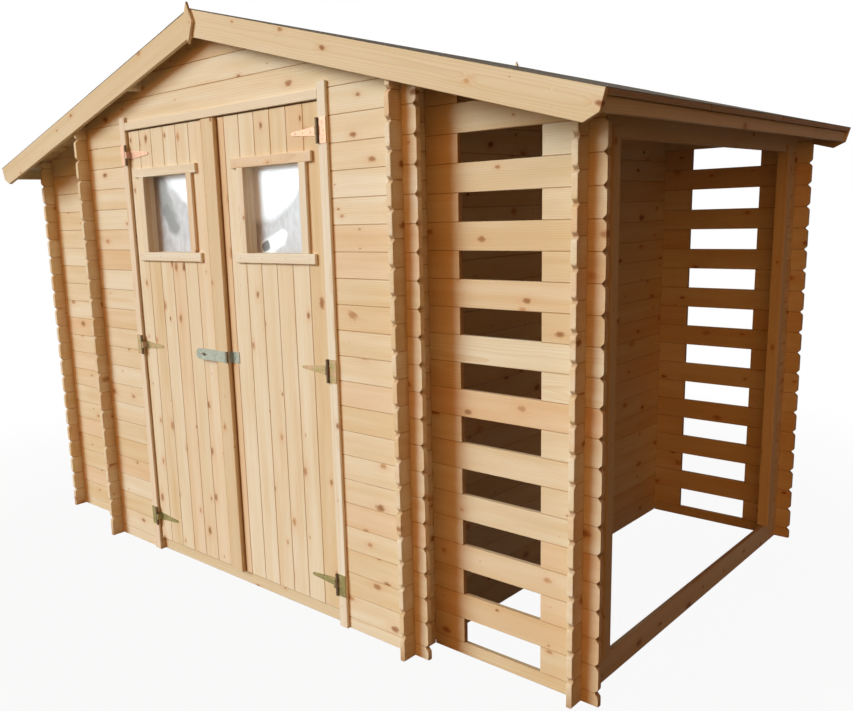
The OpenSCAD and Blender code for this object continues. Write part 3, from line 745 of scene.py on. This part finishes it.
def build_bay_ends():
    """Front and back of the two bays beside the middle room."""
    bay_end = OUTER_X + END_OUT
    ends = (("front", -WING_Y), ("back", WING_Y - BOARD_T))
    for name, plane in ends:
        wall = Boards(f"store_{name}_boards")
        log_wall(wall, "x", plane, HALF_W, bay_end, 0, wall_z(HALF_W), [lap(BAY_IN)],
                 free0=False, top=wall_z, holes=air_slots())
        # The log store's boards get the darker pine, as painted shade.
        wall.build("shed", "log_boards", STORE_PINE_PAINTED_SHADE, f"store_{name}_wall")
    for name, plane in ends:
        wall = Boards(f"left_bay_{name}_boards")
        log_wall(wall, "x", plane, -bay_end, -HALF_W, 0, wall_z(HALF_W), [lap(-OUTER_X)],
                 free1=False, top=wall_z)
        wall.build("shed", "log_boards", LOG_PINE, f"left_bay_{name}")


def build_bay_sides():
    """The left bay's closed side, and the sill, header and returns of the log store's open side."""
    laps = [lap(-WING_Y), lap(WING_Y - BOARD_T)]
    end_y = WING_Y + END_OUT
    wall = Boards("left_bay_wall_boards")
    log_wall(wall, "y", -OUTER_X, -end_y, end_y, 0, BAY_TOP, laps)
    wall.build("shed", "log_boards", LOG_PINE, "left_bay_wall")
    wall = Boards("store_sill_board")
    log_wall(wall, "y", BAY_IN, -end_y, end_y, 0, BOARD_H, laps)
    wall.build("shed", "log_boards", LOG_PINE, "store_sill")
    wall = Boards("store_header_boards")
    log_wall(wall, "y", BAY_IN, -end_y, end_y, STORE_TOP, BAY_TOP, laps)
    wall.build("shed", "log_boards", LOG_PINE, "store_header")
    in_groove = 0.020
    return_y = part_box("store_posts")[1].y - in_groove
    wall = Boards("store_return_boards")
    log_wall(wall, "y", BAY_IN, -end_y, -return_y, BOARD_H, STORE_TOP, laps, free1=False)
    log_wall(wall, "y", BAY_IN, return_y, end_y, BOARD_H, STORE_TOP, laps, free0=False)
    wall.build("shed", "log_boards", LOG_PINE, "store_returns")


# Roof

def slope_axes(side):
    """Axes of a roof slope: along the ridge, down the slope and up out of it."""
    down = Vector((side * math.cos(PITCH), 0, -math.sin(PITCH)))
    out = Vector((side * math.sin(PITCH), 0, math.cos(PITCH)))
    return Y_AXIS, down, out


def build_roof_panels():
    """Three panels on each slope, of boards along the ridge; the lowest boards show at the eaves, in paler pine
    as painted light.
    """
    starts = [-DECK_Y + PANEL_W * k for k in range(3)]
    ends = [start - PANEL_GAP for start in starts[1:]] + [DECK_Y]
    lean = DECK_T * SLOPE
    narrowest = 0.02
    eases = (V_JOINT, CUT_EDGE, V_JOINT, CUT_EDGE)
    for side, name in ((1, "right"), (-1, "left")):
        along, down, out = slope_axes(side)
        boards = Boards(f"roof_panel_{name}_boards")
        painted_light_edges = Boards(f"roof_panel_{name}_edges")
        ridge = Vector((0, 0, RIDGE_Z)) - out * DECK_T
        for y0, y1 in zip(starts, ends):
            foot = SLOPE_L
            while foot > lean + narrowest:
                top = max(foot - ROOF_BOARD_W, lean)
                lowest = foot == SLOPE_L
                gap = EDGE_GAP / 2 if lowest else 0.0
                outline = [(y0 + gap, top), (y1 - gap, top), (y1 - gap, foot), (y0 + gap, foot)]
                (painted_light_edges if lowest else boards).prism(outline, eases, ridge, (along, down, out), DECK_T)
                foot = top
        boards.build("shed", "log_boards", LOG_PINE, f"roof_panels_{name}")
        # Painted light: the eave edges get the paler pine, for the sky light that catches them.
        painted_light_edges.build("shed", "log_boards", PALE_PINE)


def build_purlins():
    low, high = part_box("roof_purlins")
    half = PURLIN_W / 2
    purlins = Boards("roof_purlin_beams")
    for x in (-PURLIN_X, 0.0, PURLIN_X):
        top = under_z(abs(x) + half)
        purlins.box((x - half, low.y, top - PURLIN_H), (x + half, high.y, top), "y", 0.002)
    purlins.build("shed", "log_boards", LOG_PINE, "roof_purlins")


def build_roof_trim():
    """Bargeboards on both gables, the diamonds over their joint, and the fascia under the eaves."""
    lean = BARGE_W * SLOPE
    outline = [(0, 0), (SLOPE_L, 0), (SLOPE_L, BARGE_CUT_ACROSS - BARGE_W),
               (SLOPE_L - BARGE_CUT_ALONG, -BARGE_W), (lean, -BARGE_W)]
    for side, name in ((1, "right"), (-1, "left")):
        boards = Boards(f"bargeboard_{name}_pair")
        _, down, out = slope_axes(side)
        for y in (-ROOF_Y, DECK_Y):
            boards.prism(outline, [EASED] * 4 + [CUT_EDGE], Vector((0, y, RIDGE_Z)),
                         (down, out, Y_AXIS), ROOF_Y - DECK_Y)
        boards.build("shed", "trim_boards", TRIM_PINE_PAINTED_SHADE, f"bargeboards_{name}")

    low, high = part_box("finials")
    finial_t = high.y - ROOF_Y
    half_w, half_h = (high.x - low.x) / 2, (high.z - low.z) / 2
    diamond = [(0, 0), (half_h, -half_w), (2 * half_h, 0), (half_h, half_w)]
    plates = Boards("finial_plates")
    for y in (-ROOF_Y - finial_t, ROOF_Y):
        plates.prism(diamond, [0.002] * 4, Vector((0, y, low.z)), (Z_AXIS, X_AXIS, Y_AXIS), finial_t)
    plates.build("shed", "trim_boards", TRIM_PINE_PAINTED_SHADE, "finials")

    low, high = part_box("eave_boards")
    fascia = Boards("eave_fascia_boards")
    for x in (low.x, high.x - FASCIA_T):
        fascia.box((x, low.y, low.z), (x + FASCIA_T, high.y, high.z - FASCIA_REVEAL), "y")
    fascia.build("shed", "log_boards", LOG_PINE, "eave_boards")


def build_felt():
    """Felt in strips along the ridge: a lower strip, an upper one lapped over it and a cap on the ridge."""
    fold = 0.0001
    boards = Boards("roof_felt_strips")
    for side in (1, -1):
        along, down, out = slope_axes(side)
        for reach, low, high in FELT_LAYERS:
            head = -low * SLOPE
            foot = min(reach, SLOPE_L - high * SLOPE)
            outline = [(-ROOF_Y, head), (ROOF_Y, head), (ROOF_Y, foot), (-ROOF_Y, foot)]
            origin = Vector((0, 0, RIDGE_Z)) + out * low
            boards.prism(outline, [fold] * 4, origin, (along, down, out), high - low)
    boards.build("shed", "felt", FELT, "roof_felt")


# Screws and nails

class Heads(Boards):
    """Collects round heads of screws or nails that stand on a plane."""

    SIDES = 16
    # shares of the radius and the rise: the dome's rings, its crown, and the crown in a cross recess
    DOME = ((1.0, 0.0), (0.92, 0.55), (0.66, 0.9), (0.42, 1.0))
    CROWN, RECESS = (0.12, 1.0), (0.40, 0.35)

    def head(self, spot, normal, radius, rise, recess=False):
        """A domed head, with a cross recess where it is a screw."""
        spot, normal = Vector(spot), Vector(normal)
        side = normal.orthogonal().normalized()
        other = normal.cross(side)
        turn = rng.uniform(0, math.pi)
        count = self.SIDES
        crown = [self.RECESS if recess and i % 4 == 0 else self.CROWN for i in range(count)]
        base = len(self.verts)
        rings = [[ring] * count for ring in self.DOME] + [crown]
        for ring in rings:
            for i, (r, h) in enumerate(ring):
                angle = turn + 2 * math.pi * i / count
                outwards = side * math.cos(angle) + other * math.sin(angle)
                self.point(spot + outwards * (radius * r) + normal * (rise * h), (0.0,) * 3, (0.5,) * 3, 0.0)
        for k in range(len(rings) - 1):
            a, b = base + k * count, base + (k + 1) * count
            for i in range(count):
                j = (i + 1) % count
                self.faces.append([a + i, a + j, b + j, b + i])
        self.faces.append([b + i for i in range(count)])
        self.faces.append([base + i for i in range(count)][::-1])


def build_screws():
    """Screws in the hinges, the straps and the hasp's keeper."""
    screw_r, screw_rise = 0.0036, 0.0011
    plate_screws = ((0.022, -0.028), (0.027, 0.0), (0.022, 0.028))
    strap_screws = (0.046, 0.086, 0.122)
    screws = Heads("hinge_plate_screws")
    for z in HINGE_Z:
        for side in (-1, 1):
            for dx, dz in plate_screws:
                spot = (side * (PIN_X + dx), JAMB_Y - PLATE_T, z + dz)
                screws.head(spot, -Y_AXIS, screw_r, screw_rise, recess=True)
    screws.build("shed", "yellow_zinc", YELLOW_ZINC)
    for side, name in ((-1, "left"), (1, "right")):
        screws = Heads(f"{name}_strap_screws")
        for z in HINGE_Z:
            for dx in strap_screws:
                spot = (side * (PIN_X - dx), LEAF_Y - PLATE_T, z)
                screws.head(spot, -Y_AXIS, screw_r, screw_rise, recess=True)
        screws.build(f"{name}_door", "yellow_zinc", YELLOW_ZINC)

    keeper_r, keeper_rise = 0.003, 0.0009
    from_end, apart = 0.016, 0.024
    low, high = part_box("staple")
    middle = (low.z + high.z) / 2
    screws = Heads("keeper_screws")
    for z in (middle - apart / 2, middle + apart / 2):
        screws.head((high.x - from_end, LEAF_Y - PLATE_T, z), -Y_AXIS, keeper_r, keeper_rise, recess=True)
    screws.build("right_door", "galvanised", GALVANISED)


def build_nails():
    """Nails in the window trims and bargeboards, and clout nails along the felt's laps."""
    nail_r, nail_rise = 0.0017, 0.0004
    for name in ("left", "right"):
        low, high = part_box(f"{name}_window_frame")
        nails = Heads(f"{name}_trim_nails")
        for z in (low.z + TRIM_W / 2, high.z - TRIM_W / 2):
            for share in (0.06, 0.35, 0.65, 0.94):
                nails.head((low.x + (high.x - low.x) * share, low.y, z), -Y_AXIS, nail_r, nail_rise)
        nails.build(f"{name}_door", "galvanised", GALVANISED)
    nails = Heads("bargeboard_nails")
    for side in (-1, 1):
        for x in (0.07, 0.47, 0.94, 1.5):
            for drop in (0.030, 0.068):
                for face in (-1, 1):
                    spot = (side * x, face * ROOF_Y, roof_z(x) - drop / math.cos(PITCH))
                    nails.head(spot, face * Y_AXIS, nail_r, nail_rise)
    nails.build("shed", "galvanised", GALVANISED)

    clout_r, clout_rise = 0.005, 0.0006
    clouts, clout_gap, from_edge = 14, 0.15, 0.022
    nails = Heads("felt_nails")
    for side in (-1, 1):
        _, down, out = slope_axes(side)
        for reach, _, top in FELT_LAYERS[1:]:
            line = Vector((0, 0, RIDGE_Z)) + down * (reach - from_edge) + out * top
            for k in range(clouts):
                y = (k - (clouts - 1) / 2) * clout_gap
                nails.head(line + Y_AXIS * y, out, clout_r, clout_rise)
    nails.build("shed", "galvanised", GALVANISED)


# Fixed joinery

def node_boxes(name, split):
    """Boxes of a node's solids where it holds one on each side of a plane."""
    points = np.array([v.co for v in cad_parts[name].data.vertices], float)
    side = points[:, "xyz".index(split)]
    for part in (points[side < 0], points[side > 0]):
        yield Vector(part.min(0)), Vector(part.max(0))


def post_spans(low, high):
    """Where a grooved post has its core, next to the opening, and its cheeks, over the wall boards."""
    if low > 0:
        return (low, low + POST_CORE), (low + POST_CORE, high)
    return (high - POST_CORE, high), (low, high - POST_CORE)


def build_door_frame():
    """Grooved jambs, header and threshold of the doorway, and the beads that the doors close against."""
    jambs = Boards("door_jamb_posts")
    top = DOOR_TOP - LAP_GAP
    for low, high in node_boxes("door_jambs", "x"):
        lip_y = low.y + GROOVE_LIP
        core, cheek = post_spans(low.x, high.x)
        jambs.box(low, (high.x, lip_y, high.z), "z", 0.0018)
        jambs.box((core[0], lip_y, low.z), (core[1], high.y, top), "z", 0.001)
        jambs.box((cheek[0], high.y - GROOVE_LIP, low.z), (cheek[1], high.y, top), "z", 0.001)
    jambs.build("shed", "trim_boards", PALE_PINE, "door_jambs")

    head_low, head_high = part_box("door_header")
    head = Boards("door_head_piece")
    head.box(head_low, head_high, "x", 0.0018)
    head.build("shed", "trim_boards", PALE_PINE, "door_header")
    sill_low, sill_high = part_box("threshold")
    sill = Boards("door_threshold")
    sill.box(sill_low, sill_high, "x", 0.003)
    sill.build("shed", "trim_boards", TRIM_PINE_PAINTED_SHADE, "threshold")

    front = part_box("left_leaf")[1].y + STOP_CLEAR
    back = front + STOP_T
    bead_z = head_low.z - STOP_W
    stops = Boards("door_stop_beads")
    stops.box((head_low.x, front, bead_z), (head_high.x, back, head_low.z), "x", 0.001)
    for x in (head_low.x, head_high.x - STOP_W):
        stops.box((x, front, sill_high.z), (x + STOP_W, back, bead_z), "z", 0.001)
    stops.build("shed", "trim_boards", PALE_PINE)


def build_store_posts():
    """Posts beside the log store's open side, grooved over the ends of its returns."""
    posts = Boards("store_side_posts")
    outer = OUTER_X + LAP_GAP
    top = STORE_TOP - LAP_GAP
    for low, high in node_boxes("store_posts", "y"):
        core, cheek = post_spans(low.y, high.y)
        posts.box((outer, low.y, low.z), high, "z", 0.0018)
        posts.box((low.x, core[0], low.z), (outer, core[1], top), "z", 0.001)
        posts.box((low.x, cheek[0], low.z), (BAY_IN - LAP_GAP, cheek[1], top), "z", 0.001)
    posts.build("shed", "trim_boards", TRIM_PINE_PAINTED_SHADE, "store_posts")


def build_floor():
    """Boards in the left bay, in the passage and in the middle room, on bearers."""
    low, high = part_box("floor_boards")
    bay_y = WING_Y - BOARD_T - FLOOR_PLAY
    passage_y = bay_y - END_OUT
    wall_low, wall_high = -HALF_W - FLOOR_PLAY, -HALF_W + BOARD_T + FLOOR_PLAY
    zones = ((low.x, wall_low, -bay_y, bay_y), (wall_low, wall_high, -passage_y, passage_y),
             (wall_high, high.x, low.y, high.y))
    narrowest, left_over = 0.004, 0.005
    floor = Boards("floor_planks")
    x = low.x
    while x < high.x - left_over:
        edge = min(x + FLOOR_BOARD_W, high.x)
        for x0, x1, y0, y1 in zones:
            a, b = max(x, x0), min(edge, x1)
            if b - a > narrowest:
                floor.box((a, y0, low.z), (b, y1, high.z), "y")
        x = edge
    floor.build("shed", "log_boards", LOG_PINE, "floor_boards")

    low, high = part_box("floor_bearers")
    bearers = Boards("floor_bearer_beams")
    for i in range(BEARERS):
        y = low.y + (high.y - low.y - BEARER_W) * i / (BEARERS - 1)
        bearers.box((low.x, y, low.z), (high.x, y + BEARER_W, high.z), "x")
    bearers.build("shed", "log_boards", LOG_PINE, "floor_bearers")


# Doors

def leaf_boards(boards, low, high, hinge_x, window):
    """Vertical boards of a leaf, counted from its hinged edge, with the window cut out of them."""
    w0, w1 = window
    sign = -1.0 if hinge_x > 0 else 1.0
    reach = high.x - low.x
    narrowest = 0.02
    painted_light_edges = [0.0]
    while painted_light_edges[-1] < reach - narrowest:
        painted_light_edges.append(min(DOOR_EDGE_W + DOOR_BOARD_W * (len(painted_light_edges) - 1), reach))
    painted_light_edges[-1] = reach
    for a, b in zip(painted_light_edges, painted_light_edges[1:]):
        x0, x1 = sorted((hinge_x + sign * a, hinge_x + sign * b))
        parts = [(x0, x1, low.z, high.z)]
        if x1 > w0.x and x0 < w1.x:
            parts = [(x0, x1, low.z, w0.z), (x0, x1, w1.z, high.z)]
            if x0 < w0.x:
                parts.append((x0, w0.x, w0.z, w1.z))
            if x1 > w1.x:
                parts.append((w1.x, x1, w0.z, w1.z))
        for p0, p1, z0, z1 in parts:
            eases = [V_JOINT if abs(p0 - x0) < TINY else CUT_EDGE, CUT_EDGE,
                     V_JOINT if abs(p1 - x1) < TINY else CUT_EDGE, CUT_EDGE]
            outline = [(z0, p0), (z1, p0), (z1, p1), (z0, p1)]
            boards.prism(outline, eases, Vector((0, low.y, 0)), (Z_AXIS, X_AXIS, Y_AXIS), high.y - low.y)


def window_trims(trims, leaf, outer, window):
    """Trims in front of a window, with the long ones above and below, and a frame behind it."""
    (leaf_low, leaf_high), (low, high), (w0, w1) = leaf, outer, window
    layers = (((low.x, high.x), low.y, leaf_low.y, 0.0018),
              ((w0.x - TRIM_W, w1.x + TRIM_W), leaf_high.y, high.y, 0.001))
    for (x0, x1), y0, y1, ease in layers:
        for z in (w0.z - TRIM_W, w1.z):
            trims.box((x0, y0, z), (x1, y1, z + TRIM_W), "x", ease)
        for x in (w0.x - TRIM_W, w1.x):
            trims.box((x, y0, w0.z), (x + TRIM_W, y1, w1.z), "z", ease)


def build_doors():
    for side in ("left", "right"):
        body = f"{side}_door"
        low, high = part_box(f"{side}_leaf")
        frame_low, frame_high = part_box(f"{side}_window_frame")
        window = (Vector((frame_low.x + TRIM_W + TRIM_OVER, 0, frame_low.z + TRIM_W)),
                  Vector((frame_high.x - TRIM_W - TRIM_OVER, 0, frame_high.z - TRIM_W)))
        leaf = Boards(f"{side}_door_boards")
        leaf_boards(leaf, low, high, low.x if side == "left" else high.x, window)
        leaf.build(body, "door_boards", DOOR_PINE, f"{side}_leaf")

        ledge_low, ledge_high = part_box(f"{side}_ledges")
        ledges = Boards(f"{side}_door_ledges")
        for z in (ledge_low.z, HINGE_Z[1] - LEDGE_H / 2, ledge_high.z - LEDGE_H):
            ledges.box((ledge_low.x, ledge_low.y, z), (ledge_high.x, ledge_high.y, z + LEDGE_H), "x", 0.003)
        ledges.build(body, "door_boards", DOOR_PINE, f"{side}_ledges")

        trims = Boards(f"{side}_window_trims")
        window_trims(trims, (low, high), (frame_low, frame_high), window)
        trims.build(body, "trim_boards", PALE_PINE, f"{side}_window_frame")
    strip = Boards("door_cover_strip")
    strip.box(*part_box("cover_strip"), "z", 0.002)
    strip.build("left_door", "trim_boards", TRIM_PINE_PAINTED_SHADE, "cover_strip")


def dress_nodes():
    """Metal and panes keep their CAD shapes and get their finish."""
    finishes = {"hinge_plates": YELLOW_ZINC, "left_straps": YELLOW_ZINC, "right_straps": YELLOW_ZINC,
                "hasp": GALVANISED, "staple": GALVANISED, "left_pane": LEFT_FILM_PAINTED_GLARE, "right_pane": RIGHT_FILM_PAINTED_GLARE}
    for name, material in finishes.items():
        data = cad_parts[name].data
        data.materials.clear()
        data.materials.append(material)


# Stage

def build_stage():
    """A floor that is seen as white, a little less so round the building, where its shadow shows."""
    reach, sunk = 40.0, 0.0005
    mesh = bpy.data.meshes.new("floor")
    mesh.from_pydata([(-reach, -reach, 0), (reach, -reach, 0), (reach, reach, 0), (-reach, reach, 0)], [],
                     [(0, 1, 2, 3)])
    floor = bpy.data.objects.new("floor", mesh)
    floor.location.z = -sunk
    bpy.context.scene.collection.objects.link(floor)
    material, nodes, shader = new_material("pale_floor")
    nodes.feed(shader.inputs["Base Color"], (0.18, 0.105, 0.055))
    shader.inputs["Roughness"].default_value = 0.9
    shader.inputs["Specular IOR Level"].default_value = 0.0
    glow = nodes.new("ShaderNodeEmission")
    nodes.feed(glow.inputs["Color"], (1.0, 1.0, 1.0))
    white = nodes.fade(nodes.length(nodes.place()), 1.6, 4.0, 0.94, 1.0)
    nodes.show(nodes.times(nodes.seen(), white), shader.outputs[0], glow.outputs[0], "Material Output")
    mesh.materials.append(material)


def build_light():
    """Warm soft light from the front, a little from the sky, and a wide key lamp from the front left."""
    scene = bpy.context.scene
    scene.world = bpy.data.worlds.new("studio")
    scene.world.use_nodes = True
    nodes = Nodes(scene.world.node_tree)
    _, y, z = nodes.split(nodes.place("Generated"))
    soft = nodes.tree.nodes["Background"]
    nodes.feed(soft.inputs["Color"], (1.0, 0.39, 0.085))
    nodes.feed(soft.inputs["Strength"], nodes.fade(y, -1.0, -0.15, 1.18, 0.008))
    sky = nodes.new("ShaderNodeBackground")
    nodes.feed(sky.inputs["Color"], (1.0, 0.98, 0.95))
    nodes.feed(sky.inputs["Strength"], nodes.fade(z, 0.45, 1.0, 0.0, 0.14))
    both = nodes.new("ShaderNodeAddShader")
    nodes.feed(both.inputs[0], soft.outputs[0])
    nodes.feed(both.inputs[1], sky.outputs[0])
    white = nodes.new("ShaderNodeBackground")
    nodes.feed(white.inputs["Color"], (1.0, 1.0, 1.0))
    nodes.show(nodes.seen(), both.outputs[0], white.outputs[0], "World Output")

    key = bpy.data.lights.new("key", "SUN")
    key.energy = 2.92
    key.angle = math.radians(32)
    key.color = (0.73, 0.93, 1.0)
    lamp = bpy.data.objects.new("key", key)
    lamp.rotation_euler = Vector((0.72, 1.0, -0.50)).to_track_quat("-Z", "Y").to_euler()
    scene.collection.objects.link(lamp)


def build_camera():
    """The photograph's view: 853 by 711 pixels, solved from the board ends."""
    width, height = 853, 711
    focal_px, centre_x, centre_y = 851.99, 372.22, 379.87
    data = bpy.data.cameras.new("camera")
    data.sensor_width = 36.0
    data.sensor_fit = "HORIZONTAL"
    data.lens = focal_px * data.sensor_width / width
    data.shift_x = (width / 2 - centre_x) / width
    data.shift_y = (centre_y - height / 2) / width
    camera = bpy.data.objects.new("camera", data)
    turn = Euler([math.radians(angle) for angle in (78.84999, 1.96133, 42.92506)])
    camera.matrix_world = Matrix.Translation((2.68885, -3.00907, 1.49146)) @ turn.to_matrix().to_4x4()
    bpy.context.scene.collection.objects.link(camera)
    bpy.context.scene.camera = camera


bpy.context.scene.view_settings.view_transform = "Standard"
build_camera()
build_room_walls()
build_bay_ends()
build_bay_sides()
build_roof_panels()
build_purlins()
build_roof_trim()
build_felt()
build_screws()
build_nails()
build_door_frame()
build_store_posts()
build_floor()
build_doors()
dress_nodes()
build_stage()
build_light()
